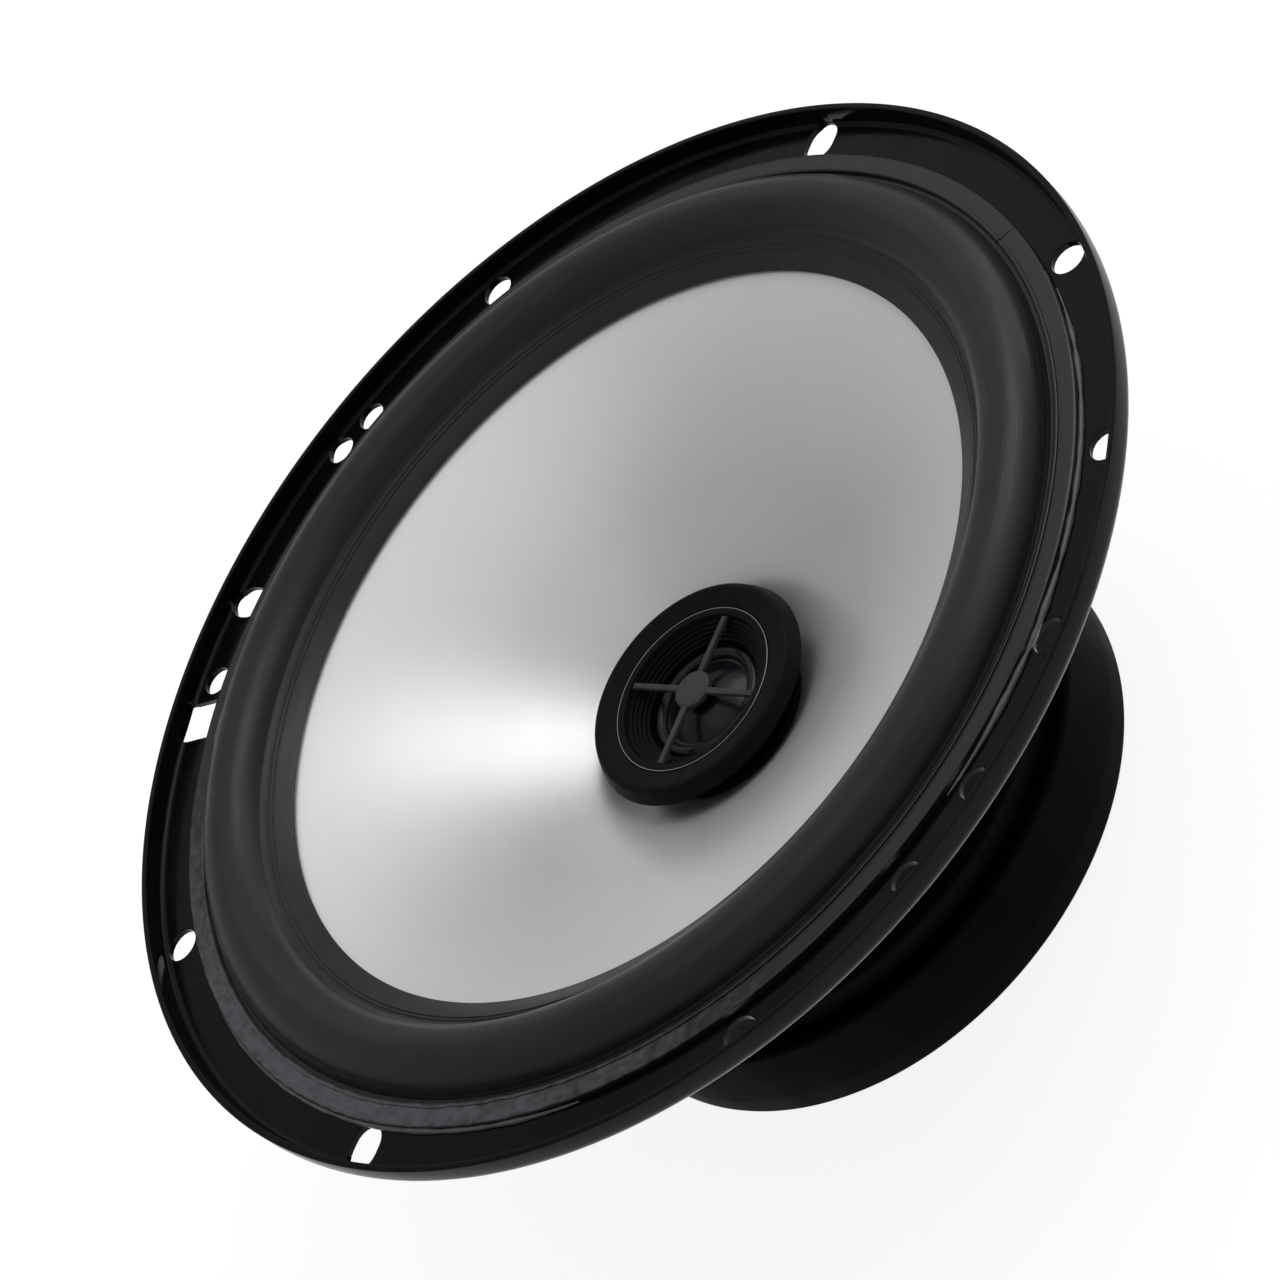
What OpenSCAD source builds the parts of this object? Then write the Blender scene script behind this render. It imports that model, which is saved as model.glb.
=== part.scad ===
// Coaxial two-way car speaker, 165 mm class, in millimetres.
// +Z points out of the front of the cone. The origin is the centre of the
// mounting flange's rear seating face. The speaker stands on its magnet boot.

/* [Flange] */
// Outside diameter of the mounting flange
flange_d = 165; // [162:0.5:168]
// Thickness of the pressed steel sheet of the basket
sheet_t = 1.0; // [0.8:0.1:1.2]
// Height of the turned-up rim above the rear seating face
rim_h = 4.2; // [3.6:0.1:5]
// Diameter of the circle that the screw holes sit on
pcd = 157; // [156:0.5:158]
// Diameter of the four round screw holes
screw_hole_d = 5.0; // [4.2:0.1:5.2]
// Width of the four radial screw slots
slot_w = 5.2; // [4.4:0.1:5.4]
// End-to-end length of the four radial screw slots
slot_len = 6.4; // [6:0.1:6.6]

/* [Basket] */
// Angle that each of the four side windows spans, in degrees
window_angle = 66; // [50:1:68]
// Depth of the ledge that carries the spider, below the seating face
spider_ledge_depth = 28.5; // [28.2:0.1:28.8]

/* [Cone and surround] */
// Radius of the middle of the surround's roll
roll_r = 66.3; // [66:0.1:66.6]
// Height of the top of the surround's roll above the seating face
roll_top = 6.2; // [5.6:0.1:6.6]
// Radius of the visible edge of the cone
cone_edge_r = 57.1; // [56.6:0.1:57.6]
// Depth of the cone's neck below the seating face
neck_depth = 26.3; // [26:0.1:26.5]
// Travel of the cone to each side of rest
cone_travel = 2.5; // [1:0.1:2.5]

/* [Magnet] */
// Depth of the rear face of the boot below the seating face
depth = 56.5; // [55:0.5:60]
// Radius of the boot near its back edge
boot_r = 46.4; // [46.2:0.1:48]
// Height of the boot along the axis
boot_h = 13.5; // [12:0.5:14]
// Radius of the ring magnet
magnet_r = 42.5; // [41.5:0.5:42.5]

/* [Tweeter] */
// Radius of the foot of the tweeter's bezel
bezel_r = 17.7; // [17.2:0.1:17.8]
// Height of the bezel's face below the seating face
bezel_face_depth = 17.5; // [17:0.1:18]
// Radius of the grille cross
grille_r = 11.9; // [11.7:0.1:12]
// Width of each spoke of the grille cross
spoke_w = 0.8; // [0.6:0.1:1.2]

/* [Hidden] */

$fn = 96;
eps = 0.05;
glue = 0.05;            // film between glued faces of pieces that move apart

// Basket and what sits on it
flange_r = flange_d / 2;
flare_r = 1.5;          // bend of the sheet where the flange turns up into the rim
flange_cut_top = 2.2;   // the holes stop here, short of the top of the rim
wall_top_r = 69.9;      // side wall under the flange, inside the panel cut-out
wall_low_r = 66.8;
wall_low_z = -13;
ledge_out_r = 41.5;
ledge_in_r = 33.2;
ledge_z = -spider_ledge_depth - sheet_t / 2;
seat_r = 31.4;
seat_in_r = 15;
step_r = 75.3;          // outer edge of the surround's lip and of the trim ring
lip_t = 0.7;            // rubber lip under the trim ring
trim_t = 0.6;
trim_in_r = 72.1;
trim_seam_angle = 323;
arm_angle = 45;         // first of the four arms between the windows
arm_window = [6, 16];   // opening in the first arm behind the terminals

// Motor, stacked from the back
boot_t = 2;             // its back; its side wall is thinner
boot_wall = 1.5;
boot_edge_r = 1;        // rounding of its back edge
yoke_t = 5;
magnet_h = 10;
plate_t = 4;
yoke_z = -depth + boot_t;
magnet_z = yoke_z + yoke_t;
plate_z = magnet_z + magnet_h;
plate_top = plate_z + plate_t;
plate_r = 40;
magnet_bore_r = 18;
pole_r = 12.2;
plate_bore_r = 13.6;
pole_top = plate_top + 0.3;
post_bore_r = 4;
post_r = 5.5;
nut_r = 6.3;
nut_h = 2.2;
nut_pocket_r = 7;
nut_pocket_h = 4;
wire_bore_r = 1.6;
lead_groove_w = 3;
lead_groove_h = 1.4;
rivet_circle_r = 24;
rivet_r = 1.6;
rivet_head_r = 3;

// Moving parts
former_in_r = 12.6;
former_t = 0.2;
winding_t = 0.4;
winding_h = 8;
cone_t = 0.5;
cone_out_r = 60.3;
cone_bow = 8;           // half of the angle the cone's wall turns through
neck_r = former_in_r + former_t + glue + cone_t / 2;
cone_top_z = -0.9 + (cone_out_r - cone_edge_r) * 0.396;
rubber_t = 0.7;
roll_half = 4.7;
spider_t = 0.5;
spider_wave = 0.9;
spider_waves = 4;

// Terminals on the first arm
board_r = 53;
board_z = wall_low_z + (wall_low_r - board_r) * (ledge_z - wall_low_z) / (wall_low_r - ledge_out_r);
arm_slope = atan2(wall_low_z - ledge_z, wall_low_r - ledge_out_r);
board_t = 1.6;
board_size = [14, 20];
tab_t = 0.8;
tab_len = 18;
tab_y = 5;              // each tab's distance from the middle of the arm
tab_hole_r = 1.1;
tab_stem_r = 1.05;
board_rivet_x = 5.3;
board_rivet_hole_r = 1.2;
board_rivet_r = 1.15;
board_rivet_head_r = 1.7;
board_rivet_head_h = 0.8;
wire_r = 0.45;
capacitor_r = 2.5;
capacitor_h = 11;
capacitor_at = 37.3;

// Tweeter
bezel_foot_z = -20;
insert_r = 13.05;
insert_z = -18.35;
horn_in_r = 9.25;
horn_in_z = -21.3;
cup_r = 11.8;
cup_z = -28;
cup_floor_z = cup_z + 1;
dome_r = 6.6;
dome_z = -22.2;
dome_h = 2;
hub_r = 2.94;

steel_black = [0.04, 0.04, 0.045];
rubber_black = [0.07, 0.07, 0.08];
plain_steel = [0.62, 0.63, 0.65];
plastic_black = [0.05, 0.05, 0.055];

// ---- helpers ---------------------------------------------------------------

function unit(v) = v / norm(v);
function left_of(a, b) = let (d = unit(b - a)) [-d[1], d[0]];

// Point i of path p moved sideways by t, mitred at the corners.
function sideways(p, i, t) =
    i == 0 ? p[0] + t * left_of(p[0], p[1])
    : i == len(p) - 1 ? p[i] + t * left_of(p[i - 1], p[i])
    : let (n = left_of(p[i - 1], p[i]), m = unit(n + left_of(p[i], p[i + 1])))
      p[i] + m * t / (m * n);

// Closed outline of a sheet of thickness t whose middle follows path p.
function sheet_outline(p, t) = concat(
    [for (i = [0 : len(p) - 1]) sideways(p, i, t / 2)],
    [for (i = [len(p) - 1 : -1 : 0]) sideways(p, i, -t / 2)]);

// Path p with each inner corner rounded off over the length d on both sides.
function soften(p, d, steps = 5) = concat(
    [p[0]],
    [for (i = [1 : len(p) - 2])
        let (a = p[i] + unit(p[i - 1] - p[i]) * d, c = p[i] + unit(p[i + 1] - p[i]) * d)
        for (s = [0 : steps])
            let (k = s / steps)
            (1 - k) * (1 - k) * a + 2 * k * (1 - k) * p[i] + k * k * c],
    [p[len(p) - 1]]);

function arc(centre, r, from, to, steps = 12) =
    [for (i = [0 : steps])
        let (a = from + (to - from) * i / steps)
        centre + r * [cos(a), sin(a)]];

module ring(outer, inner, z, h) {
    translate([0, 0, z])
        difference() {
            cylinder(r = outer, h = h);
            translate([0, 0, -1]) cylinder(r = inner, h = h + 2);
        }
}

module pillar(r, z, h) {
    translate([0, 0, z]) cylinder(r = r, h = h);
}

module around(count, first, radius) {
    for (i = [0 : count - 1])
        rotate(first + i * 360 / count)
            translate([radius, 0, 0])
                children();
}

module on_flange(angle, radius) {
    rotate(angle)
        translate([radius, 0, -3])
            linear_extrude(flange_cut_top + 3)
                children();
}

// Middle of the first arm's sheet: x up the slope, z towards the cone.
module on_arm() {
    rotate(arm_angle)
        translate([board_r, 0, board_z])
            rotate([0, -arm_slope, 0])
                children();
}

module board_rivet_places() {
    for (x = [-board_rivet_x, board_rivet_x])
        translate([x, 0, 0])
            children();
}

// Round wire of radius r along 3-D path p, which never runs along Y for long.
module wire(p, r) {
    sides = 8;
    last = len(p) - 1;
    rings = [for (i = [0 : last])
        let (t = unit(p[min(i + 1, last)] - p[max(i - 1, 0)]),
             u = unit(cross(t, [0.13, 1, 0.11])),
             v = cross(t, u))
        for (s = [0 : sides - 1])
            p[i] + r * (cos(s * 360 / sides) * u + sin(s * 360 / sides) * v)];
    walls = [for (i = [0 : last - 1], s = [0 : sides - 1])
        let (n = (s + 1) % sides)
        [i * sides + s, (i + 1) * sides + s, (i + 1) * sides + n, i * sides + n]];
    near_end = [[for (s = [0 : sides - 1]) s]];
    far_end = [[for (s = [sides - 1 : -1 : 0]) last * sides + s]];
    polyhedron(points = rings, faces = concat(walls, near_end, far_end));
}

// ---- basket ----------------------------------------------------------------

basket_path = concat(
    [[flange_r - sheet_t / 2, rim_h]],
    arc([flange_r - sheet_t / 2 - flare_r, sheet_t / 2 + flare_r], flare_r, 0, -90, 8),
    soften([[77, sheet_t / 2], [wall_top_r, sheet_t / 2], [wall_low_r, wall_low_z],
            [ledge_out_r, ledge_z], [ledge_in_r, ledge_z],
            [seat_r, plate_top + sheet_t / 2], [seat_in_r, plate_top + sheet_t / 2]], 1.6));

// Section of a window, crossing the sloping part of the wall.
window_section = [[wall_low_r - 1.5, wall_low_z + 6], [wall_low_r - 1.5, wall_low_z - 6],
                  [ledge_out_r + 2.5, ledge_z - 6], [ledge_out_r + 2.5, ledge_z + 6]];

module screw_slot() {
    half_run = (slot_len - slot_w) / 2;
    square([2 * half_run, slot_w], center = true);
    for (side = [-1, 1])
        translate([side * half_run, 0]) circle(d = slot_w);
}

module extra_holes() {
    // angle, radius, diameter of the extra fixing holes for other cars
    for (hole = [[65, 78.5, 4.6], [70, 79.2, 4.6], [100, 78.2, 4.6],
                 [245, 78.5, 4.6], [255, 78.3, 4.6], [290, 79, 4.6]])
        on_flange(hole[0], hole[1]) circle(d = hole[2], $fn = 48);
    on_flange(105, 79) square([5.8, 6.6], center = true);
}

module basket() {
    color(steel_black)
        difference() {
            rotate_extrude($fn = 144) polygon(sheet_outline(basket_path, sheet_t));
            for (i = [0 : 3]) {
                on_flange(45 + 90 * i, pcd / 2) circle(d = screw_hole_d, $fn = 64);
                on_flange(90 * i, pcd / 2) screw_slot();
                rotate(90 * i - window_angle / 2)
                    rotate_extrude(angle = window_angle) polygon(window_section);
            }
            extra_holes();
            around(4, arm_angle, rivet_circle_r) pillar(rivet_r, plate_top - 1, 3);
            on_arm() cube(concat(arm_window, [4]), center = true);
            on_arm() board_rivet_places() pillar(board_rivet_hole_r, -2, 4);
        }
}

module trim_ring() {
    top = sheet_t + lip_t + trim_t;
    bottom = sheet_t + lip_t;
    color(rubber_black)
        difference() {
            rotate_extrude($fn = 144)
                polygon([[trim_in_r, bottom], [step_r, bottom], [step_r - 0.3, top],
                         [trim_in_r + 1.7, top - 0.1], [trim_in_r + 0.6, top]]);
            rotate(trim_seam_angle) translate([trim_in_r - 1, -0.15, 0]) cube([5, 0.3, 4]);
        }
}

// ---- moving system ---------------------------------------------------------

// Middle of the cone's wall: an arc from the edge to the neck.
cone_rim = [cone_out_r, cone_top_z - cone_t / 2];
cone_neck = [neck_r, -neck_depth - cone_t / 2];
cone_chord = cone_rim - cone_neck;
cone_wall_r = norm(cone_chord) / (2 * sin(cone_bow));
chord_angle = atan2(cone_chord[1], cone_chord[0]);
cone_centre = cone_neck + cone_wall_r * [cos(chord_angle - 90 + cone_bow), sin(chord_angle - 90 + cone_bow)];
function cone_z(r) = cone_centre[1] + sqrt(cone_wall_r ^ 2 - (r - cone_centre[0]) ^ 2);
cone_path = concat(
    arc(cone_centre, cone_wall_r, chord_angle + 90 - cone_bow, chord_angle + 90 + cone_bow, 24),
    [cone_neck - [0, 1.4]]);

module cone() {
    color([0.74, 0.74, 0.73])
        rotate_extrude($fn = 144) polygon(sheet_outline(cone_path, cone_t));
}

// Rolled rubber ring from the flange to the cone, with a flat lip on each side.
surround_path = concat(
    [[step_r, sheet_t + lip_t / 2], [trim_in_r - 0.4, sheet_t + lip_t / 2]],
    arc([roll_r, roll_top - rubber_t / 2 - roll_half], roll_half, 3, 177, 20),
    [[roll_r - roll_half - 0.5, cone_top_z + rubber_t / 2 + glue + 0.45],
     [cone_edge_r, -0.9 + rubber_t / 2 + glue + 0.05]]);

module surround() {
    color(rubber_black)
        rotate_extrude($fn = 144) polygon(sheet_outline(surround_path, rubber_t));
}

// Corrugated cloth disc from the basket's ledge to the voice coil.
spider_z = -spider_ledge_depth + spider_t / 2;
spider_from = 16;
spider_to = 32;
spider_path = concat(
    [[40, spider_z]],
    [for (i = [0 : 64])
        let (k = i / 64)
        [spider_to + (spider_from - spider_to) * k, spider_z + spider_wave * sin(360 * spider_waves * k)]],
    [[neck_r + 0.2, spider_z], [neck_r, spider_z - 0.2], [neck_r, spider_z - 1.6]]);

module spider() {
    color([0.75, 0.62, 0.3])
        rotate_extrude() polygon(sheet_outline(spider_path, spider_t));
}

former_top = -neck_depth + 0.7;
former_low = plate_z + plate_t / 2 - winding_h / 2 - 0.5;

module voice_coil_former() {
    color([0.75, 0.55, 0.2]) ring(former_in_r + former_t, former_in_r, former_low, former_top - former_low);
}

module voice_coil_winding() {
    color([0.72, 0.38, 0.16])
        ring(former_in_r + former_t + winding_t, former_in_r + former_t,
             plate_z + plate_t / 2 - winding_h / 2, winding_h);
}

// Two braided leads that hang from the terminals to the back of the cone.
lead_r = 0.5;
lead_cone_r = 24;
lead_sag = 14;
lead_from = [board_r - 0.4, board_z + 1.4];
lead_to = [lead_cone_r, cone_z(norm([lead_cone_r, tab_y])) - cone_t - lead_r - 0.1];

function lead_path(side) =
    [for (i = [0 : 10])
        let (k = i / 10, at = (1 - k) * lead_from + k * lead_to)
        [at[0], side * tab_y, at[1] - lead_sag * k * (1 - k)]];

module tinsel_leads() {
    color([0.72, 0.5, 0.3])
        rotate(arm_angle)
            for (side = [-1, 1])
                wire(lead_path(side), lead_r);
}

// ---- motor -----------------------------------------------------------------

module top_plate() {
    color(plain_steel)
        difference() {
            ring(plate_r, plate_bore_r, plate_z, plate_t);
            around(4, arm_angle, rivet_circle_r) pillar(rivet_r, plate_z - 1, plate_t + 2);
        }
}

module magnet() {
    color([0.16, 0.16, 0.17]) ring(magnet_r, magnet_bore_r, magnet_z, magnet_h);
}

module pole_yoke() {
    color(plain_steel)
        difference() {
            union() {
                pillar(plate_r, yoke_z, yoke_t);
                pillar(pole_r, yoke_z, pole_top - yoke_z);
            }
            pillar(post_bore_r, yoke_z - 1, pole_top - yoke_z + 2);
            pillar(nut_pocket_r, yoke_z - 1, nut_pocket_h + 1);
            rotate(arm_angle)
                translate([0, -lead_groove_w / 2, yoke_z - 1])
                    cube([plate_r + 1, lead_groove_w, lead_groove_h + 1]);
        }
}

module magnet_boot() {
    front_z = -depth + boot_h;
    front_r = boot_r - 1;
    outside = concat([[0, -depth], [boot_r - boot_edge_r, -depth]],
                     arc([boot_r - boot_edge_r, -depth + boot_edge_r], boot_edge_r, -80, 0, 6),
                     [[front_r, front_z - 0.8], [front_r - 0.8, front_z]]);
    inside = [[magnet_r + 0.3, front_z], [magnet_r + 0.3, front_z - 1.5],
              [front_r - boot_wall, front_z - 1.5], [boot_r - boot_wall, yoke_z], [0, yoke_z]];
    color(rubber_black)
        difference() {
            rotate_extrude($fn = 144) polygon(concat(outside, inside));
            rotate(arm_angle) translate([magnet_r - 1, -1.8, front_z - 2]) cube([2.7, 3.6, 4]);
        }
}

module basket_rivets() {
    seat_top = plate_top + sheet_t;
    color(plain_steel)
        around(4, arm_angle, rivet_circle_r) {
            pillar(rivet_r, plate_z + 0.2, seat_top - plate_z);
            pillar(rivet_head_r, seat_top, 1.1);
        }
}

// ---- terminals and wiring --------------------------------------------------

board_top = -sheet_t / 2;
board_low = board_top - board_t;

module terminal_board() {
    color([0.3, 0.2, 0.1])
        on_arm()
            difference() {
                translate([0, 0, board_low + board_t / 2]) cube(concat(board_size, [board_t]), center = true);
                board_rivet_places() pillar(board_rivet_hole_r, board_low - 1, 4);
                for (y = [-tab_y, tab_y]) translate([0, y, 0]) pillar(tab_hole_r, board_low - 1, 4);
            }
}

// Flat blade with its own rivet stem through the board.
module tab(width, y) {
    color([0.8, 0.78, 0.7])
        on_arm()
            translate([0, y, 0]) {
                difference() {
                    translate([-3, -width / 2, board_low - tab_t]) cube([tab_len, width, tab_t]);
                    translate([12, 0, 0]) pillar(0.9, board_low - 3, 4);
                }
                pillar(tab_stem_r, board_low - tab_t / 2, board_t + tab_t / 2 + 1.4);
            }
}

module positive_tab() {
    tab(6.3, tab_y);
}

module negative_tab() {
    tab(4.8, -tab_y);
}

module terminal_rivets() {
    color([0.75, 0.62, 0.3])
        on_arm()
            board_rivet_places() {
                pillar(board_rivet_r, board_low - 0.1, board_t + sheet_t + 0.4);
                pillar(board_rivet_head_r, board_low - board_rivet_head_h, board_rivet_head_h);
                pillar(board_rivet_head_r, sheet_t / 2 + 0.06, board_rivet_head_h);
            }
}

module crossover_capacitor() {
    color([0.1, 0.16, 0.34])
        rotate(arm_angle)
            translate([capacitor_at, -capacitor_h / 2, plate_top + capacitor_r])
                rotate([-90, 0, 0])
                    cylinder(r = capacitor_r, h = capacitor_h);
}

// Down the post, along the groove under the yoke, up between magnet and boot.
lead_up_r = magnet_r + 0.68;
function tweeter_lead(side, end) = soften(concat(
    [[0, side * 0.6, cup_floor_z - 0.4], [0, side * 0.6, yoke_z + 0.7],
     [lead_up_r, side * 0.6, yoke_z + 0.7], [lead_up_r, side * 0.6, plate_z + 2]], end), 1.1, 4);

module tweeter_leads() {
    cap_z = plate_top + capacitor_r;
    color([0.5, 0.08, 0.06])
        rotate(arm_angle) {
            wire(tweeter_lead(1, [[43, 7.2, cap_z + 0.5], [capacitor_at, 8, cap_z + 1],
                                  [capacitor_at, capacitor_h / 2 + 0.1, cap_z + 1]]), wire_r);
            wire(tweeter_lead(-1, [[board_r - 3.4, -tab_y, board_z - 6.5]]), wire_r);
            wire(soften([[capacitor_at, capacitor_h / 2 + 0.1, cap_z - 1.2], [capacitor_at, 8.4, cap_z - 1.2],
                         [43.5, 9, cap_z - 0.6], [board_r - 3.4, tab_y, board_z - 6.5]], 0.9, 4), wire_r);
        }
}

// ---- tweeter ---------------------------------------------------------------

module tweeter_post() {
    color(plain_steel)
        difference() {
            union() {
                pillar(post_r, pole_top, cup_z - pole_top);
                pillar(post_bore_r - 0.1, yoke_z + 0.9, pole_top - yoke_z);
            }
            pillar(wire_bore_r, yoke_z - 1, cup_z - yoke_z + 2);
            rotate(arm_angle) translate([0, -wire_bore_r, yoke_z]) cube([8, 2 * wire_bore_r, 1.6]);
        }
}

module post_nut() {
    color(plain_steel)
        difference() {
            translate([0, 0, yoke_z + nut_pocket_h - nut_h - 0.1]) cylinder(r = nut_r, h = nut_h, $fn = 6);
            pillar(post_bore_r - 0.1, yoke_z, 5);
        }
}

module tweeter_housing() {
    color(plastic_black)
        difference() {
            rotate_extrude()
                polygon([[0, cup_z], [cup_r, cup_z], [cup_r, -22.4], [bezel_r - 0.6, bezel_foot_z],
                         [bezel_r - 1.2, -19.2], [insert_r, -19.9], [horn_in_r + 1.2, -22.2],
                         [horn_in_r + 1.2, cup_floor_z], [0, cup_floor_z]]);
            pillar(wire_bore_r, cup_z - 1, 3);
        }
}

module tweeter_bezel() {
    face_z = -bezel_face_depth;
    color(plastic_black)
        rotate_extrude($fn = 144)
            polygon(concat([[insert_r + 0.15, insert_z]],
                           soften([[insert_r + 0.15, insert_z], [bezel_r - 1.2, face_z],
                                   [bezel_r, bezel_foot_z]], 1.1, 6),
                           [[bezel_r - 0.55, bezel_foot_z], [bezel_r - 1.15, -19.1],
                            [insert_r + 0.15, -19.75]]));
}

module tweeter_waveguide() {
    color(plastic_black)
        rotate_extrude($fn = 144)
            polygon([[insert_r, insert_z], [insert_r, -19.6], [insert_r - 0.3, -19.8],
                     [horn_in_r + 1.1, -22.1], [horn_in_r, -22.1], [horn_in_r, horn_in_z],
                     [grille_r - 0.2, insert_z - 0.9], [grille_r, insert_z]]);
}

module tweeter_grille() {
    bar_z = insert_z - 0.9;
    color(plastic_black) {
        pillar(hub_r, bar_z, 0.95);
        for (i = [0 : 3])
            rotate(90 * i) translate([hub_r - 0.5, -spoke_w / 2, bar_z])
                cube([grille_r - hub_r + 0.28, spoke_w, 0.8]);
    }
}

// Spherical cap of thin foil.
cap_r = (dome_r * dome_r + dome_h * dome_h) / (2 * dome_h);
cap_angle = asin(dome_r / cap_r);

module tweeter_dome() {
    outer = arc([0, dome_z + dome_h - cap_r], cap_r, 90 - cap_angle, 90, 10);
    inner = arc([0, dome_z + dome_h - cap_r], cap_r - 0.2, 90, 90 - cap_angle, 10);
    color([0.35, 0.33, 0.4]) rotate_extrude() polygon(concat(outer, inner));
}

module tweeter_dome_edge() {
    path = concat([[horn_in_r + 1, dome_z - 0.1], [9, dome_z - 0.1]],
                  arc([8, dome_z - 0.1], 0.9, 0, 180, 8),
                  [[dome_r + 0.25, dome_z - 0.1]]);
    color([0.3, 0.3, 0.33]) rotate_extrude() polygon(sheet_outline(path, 0.2));
}

module tweeter_coil() {
    color([0.72, 0.38, 0.16]) ring(dome_r + 0.05, dome_r - 0.2, dome_z - 2.2, 2);
}

module tweeter_pole_plate() {
    color(plain_steel) pillar(6, -24, 1.2);
}

module tweeter_magnet() {
    color([0.7, 0.7, 0.72]) pillar(5.8, -26, 2);
}

module tweeter_yoke() {
    color(plain_steel) {
        ring(8.6, 7.1, cup_floor_z, 4.1);
        pillar(7.1 + eps, cup_floor_z, 1);
    }
}

basket();
trim_ring();
surround();
cone();
voice_coil_former();
voice_coil_winding();
spider();
top_plate();
magnet();
pole_yoke();
magnet_boot();
basket_rivets();
terminal_board();
positive_tab();
negative_tab();
terminal_rivets();
tinsel_leads();
tweeter_post();
post_nut();
tweeter_housing();
tweeter_bezel();
tweeter_waveguide();
tweeter_grille();
tweeter_dome();
tweeter_dome_edge();
tweeter_coil();
tweeter_pole_plate();
tweeter_magnet();
tweeter_yoke();
crossover_capacitor();
tweeter_leads();
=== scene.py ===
"""Coaxial car speaker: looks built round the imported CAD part. Numbers in the sections are millimetres."""

import math

import bmesh
import bpy
from mathutils import Matrix, Vector, noise


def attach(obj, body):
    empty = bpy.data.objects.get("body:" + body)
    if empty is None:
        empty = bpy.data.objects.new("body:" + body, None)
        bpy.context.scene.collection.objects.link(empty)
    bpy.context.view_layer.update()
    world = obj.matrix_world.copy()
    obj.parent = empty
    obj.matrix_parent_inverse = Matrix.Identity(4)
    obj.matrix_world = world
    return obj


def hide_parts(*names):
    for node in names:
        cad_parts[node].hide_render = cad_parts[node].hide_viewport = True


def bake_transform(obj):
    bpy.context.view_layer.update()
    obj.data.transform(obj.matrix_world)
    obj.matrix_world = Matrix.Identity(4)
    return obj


MM = 0.001
STEPS = 288  # steps round the axis for the large rings
AXIS = 0.01  # radius at which turned outlines stop short of the axis

# Flange and basket
SHEET = 1.0
FLANGE_R = 82.5
RIM_TOP = 4.2
FLARE_R = 1.5
HOLE_CIRCLE = 78.5
WALL_TOP_R = 69.9
WALL_LOW = (66.8, -13)
LEDGE_OUT_R = 41.5
LEDGE_IN_R = 33.2
LEDGE_Z = -29.0
SEAT_R = 31.4
SEAT_IN_R = 15
PLATE_TOP = -35.5
ARM = 45  # angle of the first arm, the one with the terminals
WINDOW = 66  # angle each window spans

# Cone and surround
CONE_RIM = (60.3, 0.12)
CONE_NECK = (13.1, -26.55)
CONE_T = 0.5
CONE_BOW = 8  # half of the angle the wall turns through, in degrees
CONE_EDGE_R = 57.1
ROLL_R = 66.3
ROLL_HALF = 4.7
ROLL_TOP = 6.2
RUBBER = 0.7
STEP_R = 75.3
TRIM_IN_R = 72.1
TRIM_TOP = 2.3
TRIM_T = 0.6

# Motor
BOOT_R = 46.4
BOOT_BACK = -56.5
BOOT_FRONT = -43
MAGNET_R = 42.5
PLATE_R = 40
YOKE_Z = -54.5
MAGNET_Z = -49.5
PLATE_Z = -39.5

# Terminals
BOARD_R = 53
ARM_SLOPE = math.degrees(math.atan2(WALL_LOW[1] - LEDGE_Z, WALL_LOW[0] - LEDGE_OUT_R))
BOARD_Z = WALL_LOW[1] + (WALL_LOW[0] - BOARD_R) * (LEDGE_Z - WALL_LOW[1]) / (WALL_LOW[0] - LEDGE_OUT_R)
BOARD_T = 1.6
TAB_Y = 5
CAPACITOR_R = 2.5
CAPACITOR_AT = 37.3

# Tweeter
BEZEL_R = 17.7
BEZEL_FOOT = -20
BEZEL_FACE = -17.5
INSERT_R = 13.05
INSERT_Z = -18.35
GRILLE_R = 11.9
HUB_R = 2.94
SPOKE_W = 0.8
HORN_R = 9.25
HORN_Z = -21.3
DOME_R = 6.6
DOME_Z = -22.2
DOME_H = 2


# ---- shapes ----------------------------------------------------------------


def arc(centre, radius, start, end, steps):
    """Points of an arc, angles in degrees."""
    points = []
    for i in range(steps + 1):
        angle = math.radians(start + (end - start) * i / steps)
        points.append((centre[0] + radius * math.cos(angle), centre[1] + radius * math.sin(angle)))
    return points


def rounded(points, radii, closed=False, steps=6):
    """The outline with its corners rounded. radii is one number or one for each point."""
    count = len(points)
    if not isinstance(radii, (list, tuple)):
        radii = [radii] * count
    result = []
    for i, point in enumerate(points):
        end = not closed and i in (0, count - 1)
        if end or radii[i] <= 0:
            result.append(point)
            continue
        here = Vector(point)
        back = Vector(points[i - 1]) - here
        ahead = Vector(points[(i + 1) % count]) - here
        half = back.angle(ahead) / 2
        reach = min(radii[i] / math.tan(half), 0.49 * back.length, 0.49 * ahead.length)
        radius = reach * math.tan(half)
        start = here + back.normalized() * reach
        stop = here + ahead.normalized() * reach
        centre = here + (back.normalized() + ahead.normalized()).normalized() * (radius / math.sin(half))
        first = math.atan2(start.y - centre.y, start.x - centre.x)
        turn = math.atan2(stop.y - centre.y, stop.x - centre.x) - first
        turn = (turn + math.pi) % (2 * math.pi) - math.pi
        for k in range(steps + 1):
            angle = first + turn * k / steps
            result.append((centre.x + radius * math.cos(angle), centre.y + radius * math.sin(angle)))
    return result


def sheet(path, thickness):
    """Closed outline of a sheet whose middle follows path."""
    sides = ([], [])
    for i, point in enumerate(path):
        normals = []
        for j in (i - 1, i):
            if 0 <= j < len(path) - 1:
                along = (Vector(path[j + 1]) - Vector(path[j])).normalized()
                normals.append(Vector((-along.y, along.x)))
        mitre = sum(normals, Vector((0, 0))).normalized()
        reach = thickness / 2 / mitre.dot(normals[0])
        for side, sign in zip(sides, (1, -1)):
            side.append(tuple(Vector(point) + mitre * (sign * reach)))
    return sides[0] + sides[1][::-1]


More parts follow.
